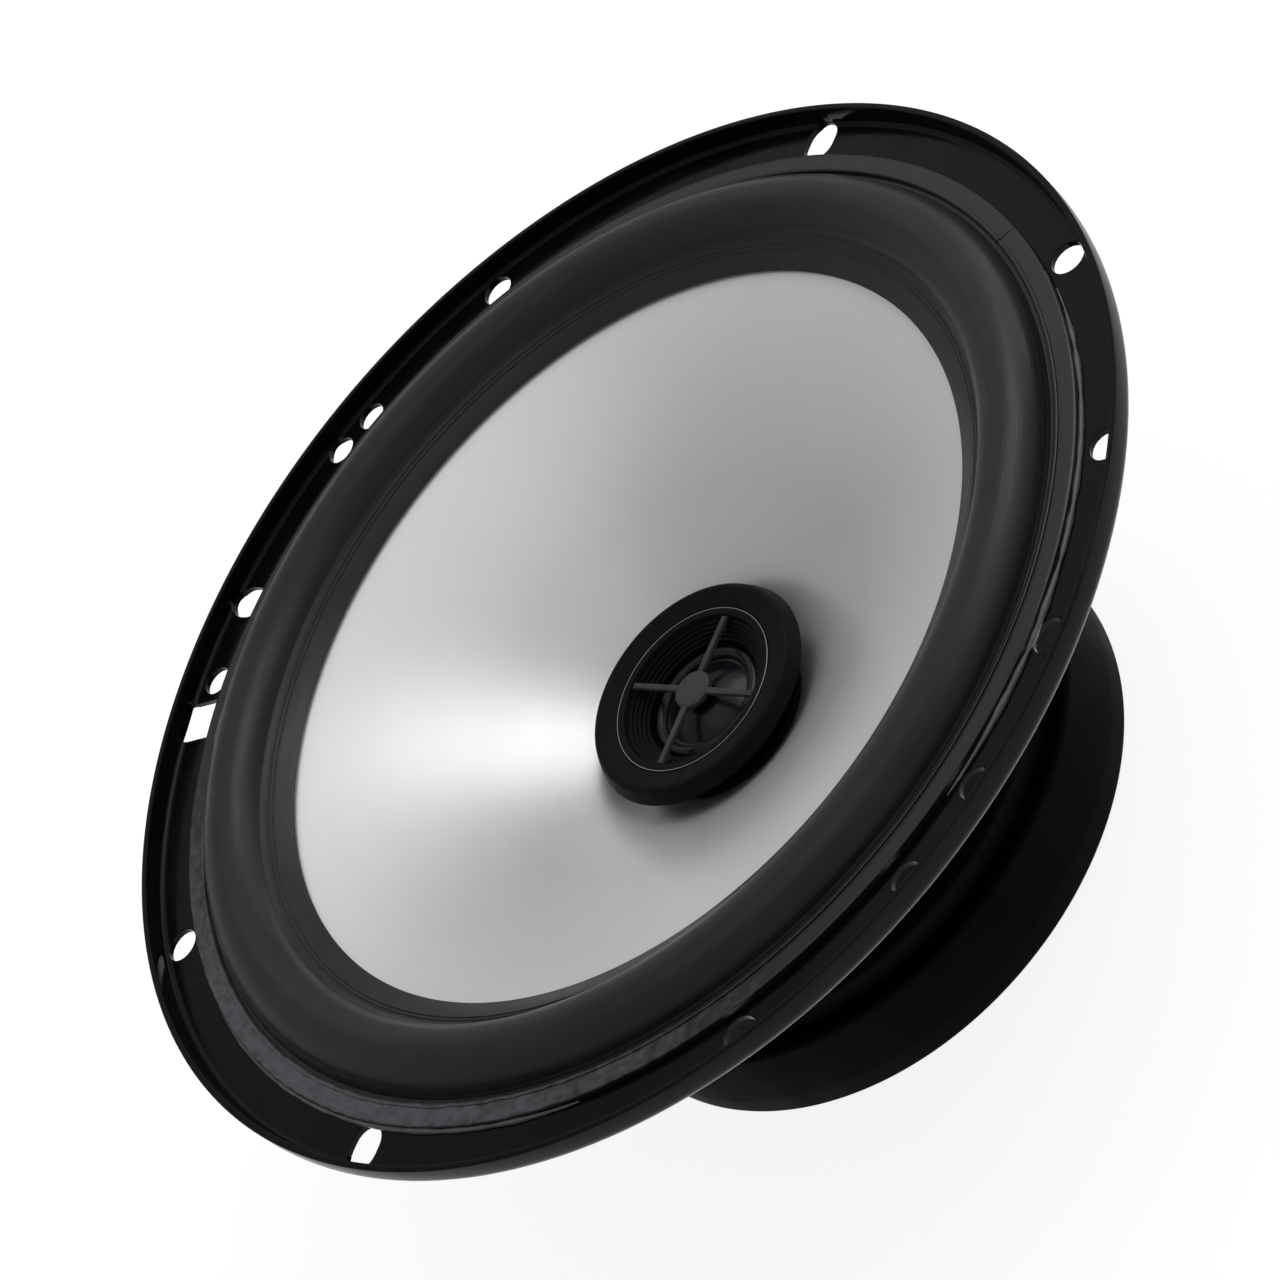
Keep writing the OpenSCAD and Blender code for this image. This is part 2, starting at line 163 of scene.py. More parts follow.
def piece(name, vertices, faces, smooth_to=32):
    """Mesh object in the scene, smooth except across edges sharper than smooth_to degrees."""
    mesh = bpy.data.meshes.new(name)
    mesh.from_pydata(vertices, [], faces)
    build = bmesh.new()
    build.from_mesh(mesh)
    bmesh.ops.remove_doubles(build, verts=build.verts, dist=1e-7)
    bmesh.ops.recalc_face_normals(build, faces=build.faces)
    build.to_mesh(mesh)
    build.free()
    finish_shading(mesh, smooth_to)
    obj = bpy.data.objects.new(name, mesh)
    bpy.context.scene.collection.objects.link(obj)
    return obj


def finish_shading(mesh, smooth_to):
    """Smooth shading, except across edges sharper than smooth_to degrees."""
    mesh.shade_smooth()
    mesh.set_sharp_from_angle(angle=math.radians(smooth_to))


def lathe(name, section, steps=STEPS, smooth_to=32):
    """Closed (radius, height) outline turned about the Z axis."""
    count = len(section)
    vertices = []
    for k in range(steps):
        angle = 2 * math.pi * k / steps
        c, s = math.cos(angle) * MM, math.sin(angle) * MM
        vertices += [(r * c, r * s, z * MM) for r, z in section]
    faces = []
    for k in range(steps):
        here, there = k * count, (k + 1) % steps * count
        for i in range(count):
            j = (i + 1) % count
            faces.append((here + i, there + i, there + j, here + j))
    return piece(name, vertices, faces, smooth_to)


def prism(name, outline, low, high):
    """Outline in the XY plane, drawn out from low to high."""
    count = len(outline)
    vertices = [(x * MM, y * MM, z * MM) for z in (low, high) for x, y in outline]
    faces = [tuple(range(count)), tuple(range(count, 2 * count))]
    faces += [(i, (i + 1) % count, count + (i + 1) % count, count + i) for i in range(count)]
    return piece(name, vertices, faces)


def tube(name, path, radius, sides):
    """Round wire along a 3-D path. radius is one number or one for each point."""
    points = [Vector(p) for p in path]
    radii = radius if isinstance(radius, list) else [radius] * len(points)
    side = Vector((0.13, 1, 0.11)).normalized()  # nothing made here runs this way
    vertices, faces = [], []
    for i, point in enumerate(points):
        along = (points[min(i + 1, len(points) - 1)] - points[max(i - 1, 0)]).normalized()
        side = (side - along * side.dot(along)).normalized()
        up = along.cross(side)
        for k in range(sides):
            angle = 2 * math.pi * k / sides
            vertices.append((point + (side * math.cos(angle) + up * math.sin(angle)) * radii[i]) * MM)
    for i in range(len(points) - 1):
        for k in range(sides):
            m = (k + 1) % sides
            faces.append((i * sides + k, i * sides + m, (i + 1) * sides + m, (i + 1) * sides + k))
    faces.append(tuple(range(sides)))
    faces.append(tuple(range((len(points) - 1) * sides, len(points) * sides)))
    return piece(name, vertices, faces)


def rectangle(low_x, high_x, half_width):
    """Outline of a rectangle that the X axis halves."""
    return [(low_x, -half_width), (high_x, -half_width), (high_x, half_width), (low_x, half_width)]


def circle(radius, at=0):
    """Outline of a round hole, with its centre on the X axis."""
    return arc((at, 0), radius, 0, 345, 23)


def spin(points, angle):
    """The points turned about the origin, angle in degrees."""
    c, s = math.cos(math.radians(angle)), math.sin(math.radians(angle))
    return [(x * c - y * s, x * s + y * c) for x, y in points]


def apply_modifiers(obj):
    """Keeps the mesh as its modifiers leave it."""
    depsgraph = bpy.context.evaluated_depsgraph_get()
    mesh = bpy.data.meshes.new_from_object(obj.evaluated_get(depsgraph))
    obj.modifiers.clear()
    obj.data = mesh


def join(first, *others):
    """Puts the meshes of several objects into the first one and removes the others."""
    build = bmesh.new()
    for obj in (first, *others):
        build.from_mesh(obj.data)
    build.to_mesh(first.data)
    build.free()
    for obj in others:
        bpy.data.objects.remove(obj)
    finish_shading(first.data, 40)
    return first


def cut(obj, cutters):
    """Takes the cutters out of obj and removes them."""
    tool = join(*cutters)
    boolean = obj.modifiers.new("cut", "BOOLEAN")
    boolean.operation = "DIFFERENCE"
    boolean.solver = "EXACT"
    boolean.object = tool
    apply_modifiers(obj)
    bpy.data.objects.remove(tool)


def bevel(obj, width):
    """Rounds every edge sharper than 50 degrees."""
    modifier = obj.modifiers.new("bevel", "BEVEL")
    modifier.width = width * MM
    modifier.segments = 2
    modifier.limit_method = "ANGLE"
    modifier.angle_limit = math.radians(50)
    apply_modifiers(obj)
    finish_shading(obj.data, 40)
    return obj


def second_look(obj, look, belongs):
    """Gives obj a second material on the faces whose centre, in millimetres, belongs to it."""
    obj.data.materials.append(look.material)
    for polygon in obj.data.polygons:
        if belongs(polygon.center / MM):
            polygon.material_index = 1


def fixed(obj, node):
    """obj stands for that CAD node and stays with the basket."""
    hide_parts(node)
    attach(obj, "chassis")


def moving(obj, node):
    """obj stands for that CAD node and moves with the cone."""
    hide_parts(node)
    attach(obj, "cone_assembly")


def flex(obj, fixed_r, moving_r):
    """Bakes obj's transform into its mesh and works out each vertex's share between radius fixed_r and
    moving_r; the share is not used, so obj neither moves nor bends.
    """
    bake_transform(obj)
    for vertex in obj.data.vertices:
        share = (fixed_r - vertex.co.xy.length / MM) / (fixed_r - moving_r)
        share = min(1, max(0, share))


# ---- materials -------------------------------------------------------------


class Finish:
    """A Principled material with its nodes at hand."""

    def __init__(self, name, colour, roughness, metallic=0.0, **constants):
        self.material = bpy.data.materials.new(name)
        self.material.use_nodes = True
        self.nodes = self.material.node_tree.nodes
        self.links = self.material.node_tree.links
        self.shader = self.nodes["Principled BSDF"]
        self.shader.inputs["Base Color"].default_value = (*colour, 1)
        self.shader.inputs["Roughness"].default_value = roughness
        self.shader.inputs["Metallic"].default_value = metallic
        for socket, value in constants.items():
            self.shader.inputs[socket.replace("_", " ")].default_value = value
        self.place = self.nodes.new("ShaderNodeTexCoord").outputs["Object"]
        self.height = None

    def node(self, kind, **settings):
        """New node. A setting is one of its sockets' names, or else one of its properties."""
        made = self.nodes.new(kind)
        for key, value in settings.items():
            if key in made.inputs:
                made.inputs[key].default_value = value
            else:
                setattr(made, key, value)
        return made

    def calc(self, operation, *values):
        """One sum on numbers or on what other nodes give."""
        made = self.node("ShaderNodeMath", operation=operation)
        for socket, value in zip(made.inputs, values):
            if isinstance(value, (int, float)):
                socket.default_value = value
            else:
                self.links.new(value, socket)
        return made.outputs[0]

    def axes(self):
        """X, Y and Z of the point on the surface, in metres."""
        parts = self.node("ShaderNodeSeparateXYZ")
        self.links.new(self.place, parts.inputs[0])
        return parts.outputs

    def noise(self, scale, detail):
        """Noise with scale in features per metre."""
        made = self.node("ShaderNodeTexNoise", Scale=scale, Detail=detail)
        self.links.new(self.place, made.inputs["Vector"])
        return made.outputs["Fac"]

    def radius(self):
        """Distance from the Z axis, in metres."""
        x, y, _ = self.axes()
        squares = self.calc("ADD", self.calc("MULTIPLY", x, x), self.calc("MULTIPLY", y, y))
        return self.calc("SQRT", squares)

    def turned(self, scale, round_scale=6.0):
        """Noise drawn out round the axis, as on a spun or pressed sheet."""
        x, y, _ = self.axes()
        angle = self.calc("ARCTAN2", y, x)
        combine = self.node("ShaderNodeCombineXYZ")
        self.links.new(self.calc("MULTIPLY", self.radius(), scale), combine.inputs[0])
        for socket, wave in zip(combine.inputs[1:], ("COSINE", "SINE")):
            self.links.new(self.calc("MULTIPLY", self.calc(wave, angle), round_scale), socket)
        made = self.node("ShaderNodeTexNoise", Scale=1.0, Detail=3.0)
        self.links.new(combine.outputs[0], made.inputs["Vector"])
        return made.outputs["Fac"]

    def between(self, value, low, high, low_in=0.3, high_in=0.7):
        """The value carried over from the range low_in to high_in to the range low to high."""
        made = self.node("ShaderNodeMapRange")
        for name, number in (("From Min", low_in), ("From Max", high_in), ("To Min", low), ("To Max", high)):
            made.inputs[name].default_value = number
        self.links.new(value, made.inputs["Value"])
        return made.outputs[0]

    def vary_roughness(self, value, low, high):
        self.links.new(self.between(value, low, high), self.shader.inputs["Roughness"])

    def vary_colour(self, value, dark, light, low_in=0.3, high_in=0.7):
        mix = self.node("ShaderNodeMix", data_type="RGBA")
        colours = [socket for socket in mix.inputs if socket.type == "RGBA"]
        colours[0].default_value = (*dark, 1)
        colours[1].default_value = (*light, 1)
        self.links.new(self.between(value, 0, 1, low_in, high_in), mix.inputs["Factor"])
        result = [socket for socket in mix.outputs if socket.type == "RGBA"][0]
        self.links.new(result, self.shader.inputs["Base Color"])

    def bump(self, value, distance, strength):
        """Relief on top of the relief already there. distance is its height in metres."""
        made = self.node("ShaderNodeBump", Strength=strength, Distance=distance)
        self.links.new(value, made.inputs["Height"])
        if self.height is not None:
            self.links.new(self.height, made.inputs["Normal"])
        self.height = made.outputs["Normal"]
        self.links.new(self.height, self.shader.inputs["Normal"])

    def on(self, *objects):
        """Makes this the objects' only material."""
        for obj in objects:
            obj.data.materials.clear()
            obj.data.materials.append(self.material)


def paint_finish():
    finish = Finish("gloss_black_paint", (0.003, 0.003, 0.0035), 0.2, Specular_IOR_Level=0.12)
    finish.vary_colour(finish.noise(90, 3), (0.002, 0.002, 0.0025), (0.004, 0.004, 0.005))
    finish.vary_roughness(finish.noise(260, 4), 0.12, 0.24)
    finish.bump(finish.noise(900, 2), 0.00001, 0.5)
    finish.bump(finish.turned(500), 0.00002, 0.3)
    return finish


def rubber_finish(name, colour, roughness, grain=0.00002, specular=0.4, sheen=0.04):
    light = tuple(c * 1.35 for c in colour)
    finish = Finish(name, colour, roughness, Specular_IOR_Level=specular, Sheen_Weight=sheen,
                    Sheen_Roughness=0.4)
    finish.vary_colour(finish.noise(120, 4), colour, light)
    gloss = finish.calc("MULTIPLY", finish.calc("ADD", finish.turned(900), finish.turned(160, 3.0)), 0.5)
    finish.vary_roughness(gloss, roughness - 0.09, roughness + 0.11)
    finish.bump(finish.noise(2600, 3), grain, 0.6)
    return finish


def trim_finish():
    """Rubber with a pale smear that fades in and out round the ring: partly dry glue, partly a painted
    highlight on that side.
    """
    rubber, glue_and_highlight = (0.009, 0.009, 0.01), (0.085, 0.09, 0.1)
    finish = rubber_finish("trim_rubber", rubber, 0.27, 0.00003, 0.5)
    x, y, _ = finish.axes()
    smeared_x, smeared_y = -0.99, 0.14  # the smear and its painted highlight are strongest on this side of the ring
    towards = finish.calc("ADD", finish.calc("MULTIPLY", x, smeared_x / (TRIM_IN_R * MM)),
                          finish.calc("MULTIPLY", y, smeared_y / (TRIM_IN_R * MM)))
    patches = finish.calc("ADD", finish.calc("MULTIPLY", finish.turned(700, 40), 0.9), towards)
    # painted highlight: the pale colour lightens this side of the ring, partly as dry glue
    finish.vary_colour(patches, rubber, glue_and_highlight, 1.05, 1.5)
    return finish


def cone_finish():
    finish = Finish("silver_cone", (0.8, 0.8, 0.79), 0.36, 0.62)
    # painted light: a little paler towards the edge, a painted brightening of the rim
    paler = finish.between(finish.radius(), 0, 1, 0.032, 0.054)
    clouds = finish.calc("MULTIPLY", finish.noise(60, 3), 0.25)
    finish.vary_colour(finish.calc("ADD", paler, clouds), (0.75, 0.75, 0.745), (0.93, 0.93, 0.925), 0.1, 1.15)
    finish.vary_roughness(finish.turned(400, 2.5), 0.35, 0.375)
    finish.bump(finish.noise(3800, 2), 0.000003, 0.4)
    return finish


def plastic_finish(name, colour, roughness, specular=0.3):
    finish = Finish(name, colour, roughness, Specular_IOR_Level=specular)
    finish.vary_colour(finish.noise(300, 3), colour, tuple(c * 1.4 for c in colour))
    finish.vary_roughness(finish.noise(700, 3), roughness - 0.06, roughness + 0.07)
    finish.bump(finish.noise(5200, 2), 0.00002, 0.5)
    return finish


def metal_finish(name, colour, roughness):
    finish = Finish(name, colour, roughness, 1.0)
    finish.vary_colour(finish.noise(180, 4), tuple(c * 0.85 for c in colour), colour)
    finish.vary_roughness(finish.noise(900, 3), roughness - 0.07, roughness + 0.1)
    finish.bump(finish.noise(3000, 2), 0.000008, 0.5)
    return finish


def cloth_finish():
    finish = Finish("spider_cloth", (0.5, 0.34, 0.1), 0.85, Sheen_Weight=0.3)
    finish.vary_colour(finish.noise(500, 3), (0.42, 0.27, 0.07), (0.58, 0.41, 0.15))
    turns_per_metre = 2 * math.pi / 0.0007  # a thread every 0.7 mm
    x, y, _ = finish.axes()
    warp = finish.calc("SINE", finish.calc("MULTIPLY", x, turns_per_metre))
    weft = finish.calc("SINE", finish.calc("MULTIPLY", y, turns_per_metre))
    finish.bump(finish.calc("MULTIPLY", warp, weft), 0.00012, 0.7)
    return finish


def film_finish():
    finish = Finish("dome_film", (0.003, 0.003, 0.004), 0.25, Specular_IOR_Level=0.3)
    finish.vary_colour(finish.noise(400, 2), (0.002, 0.003, 0.006), (0.006, 0.004, 0.006))
    finish.vary_roughness(finish.noise(1500, 2), 0.2, 0.32)
    return finish


def make_looks():
    return {
        "paint": paint_finish(),
        # painted shade: a darker, duller coat for the back of the basket, where it lies in shade
        "shade_matt_paint": plastic_finish("painted_shade_matt_black", (0.0012, 0.0012, 0.0015), 0.6, 0.04),
        "surround": rubber_finish("surround_rubber", (0.011, 0.011, 0.015), 0.34, specular=0.35),
        "trim": trim_finish(),
        "boot": rubber_finish("boot_rubber", (0.0012, 0.0012, 0.0015), 0.55, specular=0.03, sheen=0),
        # pale glue, its colour partly a painted reflection line along the trim ring's foot
        "glue": plastic_finish("glue", (0.11, 0.11, 0.105), 0.3),
        "painted_rim_highlight": metal_finish("painted_rim_highlight", (0.35, 0.35, 0.35), 0.3),
        "silver": cone_finish(),
        "plastic": plastic_finish("tweeter_plastic", (0.0025, 0.0025, 0.003), 0.5, 0.1),
        "cross": plastic_finish("cross_plastic", (0.045, 0.045, 0.05), 0.45, 0.2),
        "zinc": metal_finish("zinc_steel", (0.55, 0.55, 0.56), 0.34),
        "copper": metal_finish("copper_wire", (0.72, 0.33, 0.14), 0.3),
        "bright": metal_finish("bright_edge", (0.7, 0.7, 0.7), 0.28),
        # painted shade: dark brown polyimide, made this dark partly to paint the shade under the tweeter
        "former": plastic_finish("former_film", (0.012, 0.009, 0.006), 0.45, 0.2),
        # painted shade: ferrite made darker than its own dark grey, to paint the shade under the flange
        "ferrite": plastic_finish("ferrite", (0.002, 0.002, 0.0022), 0.6, 0.05),
        "tin": metal_finish("tinned_tab", (0.66, 0.63, 0.57), 0.3),
        "braid": metal_finish("braid", (0.7, 0.42, 0.24), 0.4),
        "cloth": cloth_finish(),
        "film": film_finish(),
        "board": plastic_finish("fibre_board", (0.16, 0.075, 0.03), 0.6),
        "sleeve": plastic_finish("capacitor_sleeve", (0.02, 0.045, 0.16), 0.3),
        "jacket": plastic_finish("wire_jacket", (0.3, 0.02, 0.012), 0.42),
    }


# ---- basket ----------------------------------------------------------------


def basket_path():
    """Middle of the pressed sheet, from the top of the rim in to the magnet's seat."""
    rim_r = FLANGE_R - SHEET / 2
    seat = PLATE_TOP + SHEET / 2
    inward = rounded([(77, SHEET / 2), (WALL_TOP_R, SHEET / 2), WALL_LOW, (LEDGE_OUT_R, LEDGE_Z),
                      (LEDGE_IN_R, LEDGE_Z), (SEAT_R, seat), (SEAT_IN_R, seat)], 2.2)
    flare = arc((rim_r - FLARE_R, SHEET / 2 + FLARE_R), FLARE_R, 0, -90, 12)
    return [(rim_r, RIM_TOP)] + flare + inward


def hole_cutter(angle, radius, outline):
    """Cutter through the flange, opening out a little at both faces to break the hole's edge."""
    edge = 0.1
    levels = [(-3, edge), (0, edge), (edge, 0), (SHEET - edge, 0), (SHEET, edge), (SHEET + 1.2, edge)]
    vertices, faces = [], []
    count = len(outline)
    for z, spread in levels:
        for x, y in outline:
            grow = 1 + spread / math.hypot(x, y)
            (px, py), = spin([(radius + x * grow, y * grow)], angle)
            vertices.append((px * MM, py * MM, z * MM))
    for level in range(len(levels) - 1):
        for i in range(count):
            j = (i + 1) % count
            low, high = level * count, (level + 1) * count
            faces.append((low + i, low + j, high + j, high + i))
    faces.append(tuple(range(count)))
    faces.append(tuple(range((len(levels) - 1) * count, len(levels) * count)))
    return piece("cutter", vertices, faces)


def basket_holes():
    """Four screw holes, four radial slots and the extra holes for other cars."""
    screw_r, extra_r = 2.5, 2.3
    slot_run, slot_end = 0.6, 2.6
    slot = arc((slot_run, 0), slot_end, -90, 90, 12) + arc((-slot_run, 0), slot_end, 90, 270, 12)
    cutters = []
    for i in range(4):
        cutters.append(hole_cutter(45 + 90 * i, HOLE_CIRCLE, circle(screw_r)))
        cutters.append(hole_cutter(90 * i, HOLE_CIRCLE, slot))
    for angle, radius in ((65, 78.5), (70, 79.2), (100, 78.2), (245, 78.5), (255, 78.3), (290, 79)):
        cutters.append(hole_cutter(angle, radius, circle(extra_r)))
    square = rounded(rectangle(-2.9, 2.9, 3.3), 0.5, closed=True, steps=3)
    cutters.append(hole_cutter(105, 79, square))
    return cutters


def window_cutter(angle):
    """Ring sector with rounded corners, drawn through the sloping wall."""
    outer, inner = WALL_LOW[0] - 1.5, LEDGE_OUT_R + 2.5
    half = WINDOW / 2
    corner = 4
    outline = []
    for r, turn, first in ((outer, 1, -1), (inner, -1, 1)):
        side = math.degrees(corner / r)
        away = -corner if r == outer else corner
        for end in (first, -first):
            centre = spin([(r + away, 0)], end * (half - side))[0]
            base = end * (half - side) + (0 if r == outer else 180)
            swing = (-90, 0) if end == -turn else (0, 90)
            outline += arc(centre, corner, base + swing[0], base + swing[1], 5)
            if end == first:
                outline += arc((0, 0), r, first * (half - side), -first * (half - side), 24)[1:-1]
    return prism("cutter", spin(outline, angle), -40, -8)


def basket(nodes, looks):
    """Pressed sheet with gloss paint in front and, behind the flange, a darker matt coat that is painted
    shade.
    """
    body = lathe("basket_sheet", rounded(sheet(basket_path(), SHEET), 0.2, closed=True, steps=2))
    opening_half, opening_side = 2.6, 8  # where the terminals' stems and leads come through the arm
    opening = rectangle(BOARD_R - opening_half, BOARD_R + opening_half, opening_side)
    cutters = [window_cutter(90 * i) for i in range(4)] + basket_holes()
    cutters.append(prism("cutter", spin(opening, ARM), -30, -10))
    cut(body, cutters)
    finish_shading(body.data, 38)
    looks["paint"].on(body)
    # painted shade: the darker matt coat behind the flange stands in for the shade there
    second_look(body, looks["shade_matt_paint"], lambda centre: centre.z < -0.2)
    fixed(body, "basket")


def glue_bead(first, last):
    """Uneven thread of glue along the foot of the trim ring, between two angles. Its pale colour is partly a
    painted reflection line along that foot.
    """
    fade = 8  # degrees over which each end runs out
    thin, swell = 0.12, 0.5
    path, radii = [], []
    for angle in range(first, last + 1):
        x, y = spin([(STEP_R + 0.25, 0)], angle)[0]
        spread = 0.5 + 0.5 * noise.noise((x * 0.35, y * 0.35, 1))
        spread *= min(1, (angle - first) / fade, (last - angle) / fade)
        path.append((x, y, SHEET + 0.15))
        radii.append(thin + swell * spread)
    return tube("glue", path, radii, 10)


def trim(nodes, looks):
    """Rubber ring over the surround's lip: a domed top, a bead along the inner edge and one butt joint."""
    low = TRIM_TOP - TRIM_T
    shoulder = TRIM_TOP - 0.4
    bead_r = 0.45
    middle, half = (TRIM_IN_R + STEP_R) / 2, (STEP_R - TRIM_IN_R) / 2
    steps = 18
    section = [(TRIM_IN_R, low), (STEP_R, low)]
    for i in range(steps + 1):
        angle = math.radians(135 * i / steps)
        rise = (TRIM_TOP - low - 0.25) * math.sin(angle) ** 0.7
        section.append((middle + half * math.cos(angle), low + 0.15 + rise))
    section += arc((TRIM_IN_R + bead_r, shoulder), bead_r, 60, 180, 10)
    ring = lathe("trim_gasket", section, 720)
    seam_at = 323
    seam = [(70, -0.22), (STEP_R, -0.05), (STEP_R, 0.05), (70, 0.22)]
    cut(ring, [prism("cutter", spin(seam, seam_at), 0, 5)])
    smear_at, fade = 172, 28
    for vertex in ring.data.vertices:
        # the glue that was smeared over the top along part of the ring
        angle = math.degrees(math.atan2(vertex.co.y, vertex.co.x)) % 360
        smear = min(1, max(0, 1.6 - abs(angle - smear_at) / fade))
        if smear > 0 and vertex.co.z > shoulder * MM:
            rough = noise.noise(vertex.co * 900) + 0.6 * noise.noise(vertex.co * 2400)
            vertex.co.z += 0.18 * MM * smear * rough
            vertex.co.xy *= 1 + 0.002 * smear * noise.noise(vertex.co * 600)
    looks["trim"].on(ring)
    ring = join(ring, glue_bead(148, 207), glue_bead(253, 312))
    slack = 0.01
    second_look(ring, looks["glue"],
                lambda centre: centre.xy.length > STEP_R + slack or centre.z < low - slack)
    fixed(ring, "trim_ring")


# ---- moving system ---------------------------------------------------------


def cone_arc():
    """Middle of the cone's wall as (centre, radius, angle at the rim, angle at the neck)."""
    rim, neck = Vector(CONE_RIM), Vector(CONE_NECK)
    chord = rim - neck
    bow = math.radians(CONE_BOW)
    radius = chord.length / (2 * math.sin(bow))
    lean = math.atan2(chord.y, chord.x)
    away = lean - math.pi / 2 + bow
    centre = neck + radius * Vector((math.cos(away), math.sin(away)))
    return centre, radius, math.degrees(lean) + 90 - CONE_BOW, math.degrees(lean) + 90 + CONE_BOW


def cone_z(r):
    """Height of the middle of the cone's wall at radius r."""
    centre, radius, _, _ = cone_arc()
    return centre.y + math.sqrt(radius ** 2 - (r - centre.x) ** 2)


def cone(nodes, looks):
    """Curved shell with a short collar on the voice coil former, and the looks of the coil."""
    centre, radius, first, last = cone_arc()
    collar = 1.4
    path = arc(centre, radius, first, last, 48) + [(CONE_NECK[0], CONE_NECK[1] - collar)]
    shell = lathe("cone_shell", rounded(sheet(path, CONE_T), 0.12, closed=True, steps=2))
    looks["silver"].on(shell)
    moving(shell, "cone")
    looks["former"].on(nodes["voice_coil_former"])
    looks["copper"].on(nodes["voice_coil_winding"])


def surround(nodes, looks):
    """Half roll between the lip under the trim ring and the flat that is glued to the cone's edge."""
    cone_slope, cone_face_z, glue = 0.396, -0.9, 0.1
    lip_z = TRIM_TOP - TRIM_T - RUBBER / 2
    roll_z = ROLL_TOP - RUBBER / 2 - ROLL_HALF
    edge_z = cone_face_z + RUBBER / 2 + glue
    foot_r = ROLL_R - ROLL_HALF - 0.5
    foot_z = edge_z + (foot_r - CONE_EDGE_R) * cone_slope + 0.4
    roll = arc((ROLL_R, roll_z), ROLL_HALF, 12, 168, 28)
    outer = rounded([(STEP_R, lip_z), (ROLL_R + ROLL_HALF + 0.35, lip_z), roll[0]], 0.5)
    inner = rounded([roll[-1], (foot_r, foot_z), (CONE_EDGE_R, edge_z)], 0.7)
    section = sheet(outer + roll[1:-1] + inner, RUBBER)
    ring = lathe("surround_roll", rounded(section, 0.15, closed=True, steps=2), smooth_to=40)
    slope = (foot_z - edge_z) / (foot_r - CONE_EDGE_R)
    rib_r = 0.13
    ribs = []
    for r in (foot_r - 0.75, foot_r - 1.35):
        z = edge_z + (r - CONE_EDGE_R) * slope + RUBBER / 2 * math.hypot(1, slope)
        ribs.append(lathe("rib", arc((r, z), rib_r, 0, 324, 9)))
    ring = join(ring, *ribs)
    looks["surround"].on(ring)
    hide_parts("surround")
    flex(ring, ROLL_R + ROLL_HALF, ROLL_R - ROLL_HALF)


def spider(nodes, looks):
    """Corrugated cloth disc from the basket's ledge to the voice coil former."""
    thick, wave, waves = 0.5, 0.9, 4
    edge, outer, inner = 40, 32, 16
    z = LEDGE_Z + 0.75
    steps = 96
    path = [(edge, z)]
    for i in range(steps + 1):
        k = i / steps
        path.append((outer + (inner - outer) * k, z + wave * math.sin(2 * math.pi * waves * k)))
    collar_r = CONE_NECK[0] + 0.1
    path += rounded([(collar_r + 1.4, z), (collar_r, z), (collar_r, z - 1.6)], 0.4)
    disc = lathe("spider_cloth", sheet(path, thick), 192, smooth_to=50)
    looks["cloth"].on(disc)
    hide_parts("spider")
    flex(disc, outer, inner)


# ---- motor -----------------------------------------------------------------


def disc_section(outer, inner, low, high, edge):
    return rounded([(inner, low), (outer, low), (outer, high), (inner, high)], edge, closed=True, steps=3)


def motor(nodes, looks):
    """Front plate, ring magnet, the rivets that hold the basket, and the looks of the turned steel."""
    plate_bore, magnet_bore = 13.6, 18
    plate = lathe("top_plate_disc", disc_section(PLATE_R, plate_bore, PLATE_Z, PLATE_TOP, 0.4), 192)
    looks["zinc"].on(plate)
    fixed(plate, "top_plate")

    magnet = lathe("ferrite_ring", disc_section(MAGNET_R, magnet_bore, MAGNET_Z, PLATE_Z, 0.8), 192)
    looks["ferrite"].on(magnet)
    fixed(magnet, "magnet")

    looks["zinc"].on(nodes["pole_yoke"], nodes["tweeter_post"], nodes["post_nut"])

    head_r, head_h, stem_r = 3, 1.1, 1.6
    dome_r, circle_r = 3.6, 24
    foot = PLATE_Z + 0.2
    seat = PLATE_TOP + SHEET
    for i in range(4):
        dome = arc((0, seat + head_h - dome_r), dome_r, 48, 90, 6)
        stem = [(0, foot), (stem_r, foot), (stem_r, seat)]
        section = stem + [(head_r - 0.1, seat), (head_r, seat + 0.25)] + dome
        rivet = lathe("basket_rivet_%d" % (i + 1), section, 32)
        x, y = spin([(circle_r, 0)], ARM + 90 * i)[0]
        rivet.data.transform(Matrix.Translation((x * MM, y * MM, 0)))
        looks["zinc"].on(rivet)
        fixed(rivet, "basket_rivets")


def boot(nodes, looks):
    """Rubber cup round the magnet, with a lip at its mouth and a notch in the lip for the wires."""
    wall = 1.5
    lip_h = 1.5
    hollow = BOOT_BACK + 0.5  # the middle of the back is sunk a little
    front_r = BOOT_R - 1
    lip_r = MAGNET_R + 0.3
    outside = [(AXIS, hollow), (BOOT_R - 8, hollow), (BOOT_R - 8.6, BOOT_BACK),
               (BOOT_R, BOOT_BACK), (BOOT_R, BOOT_BACK + 4), (front_r, BOOT_FRONT)]
    inside = [(lip_r, BOOT_FRONT), (lip_r, BOOT_FRONT - lip_h), (front_r - wall, BOOT_FRONT - lip_h),
              (BOOT_R - wall, YOKE_Z), (AXIS, YOKE_Z)]
    corners = [0, 0.4, 0.4, 1.0, 1.5, 0.9, 0.3, 0.3, 0.3, 0.5, 0]
    cup = lathe("boot_cup", rounded(outside + inside, corners, closed=True, steps=6))
    notch = rectangle(MAGNET_R - 1, MAGNET_R + 1.7, 1.8)
    cut(cup, [prism("cutter", spin(notch, ARM), BOOT_FRONT - 2, BOOT_FRONT + 2)])
    finish_shading(cup.data, 35)
    looks["boot"].on(cup)
    fixed(cup, "magnet_boot")


# ---- terminals and wiring --------------------------------------------------


def on_arm(obj):
    """Moves a piece made round the origin to the middle of the first arm's sheet."""
    obj.data.transform(Matrix.Rotation(math.radians(ARM), 4, "Z")
                       @ Matrix.Translation((BOARD_R * MM, 0, BOARD_Z * MM))
                       @ Matrix.Rotation(math.radians(-ARM_SLOPE), 4, "Y"))
    return obj


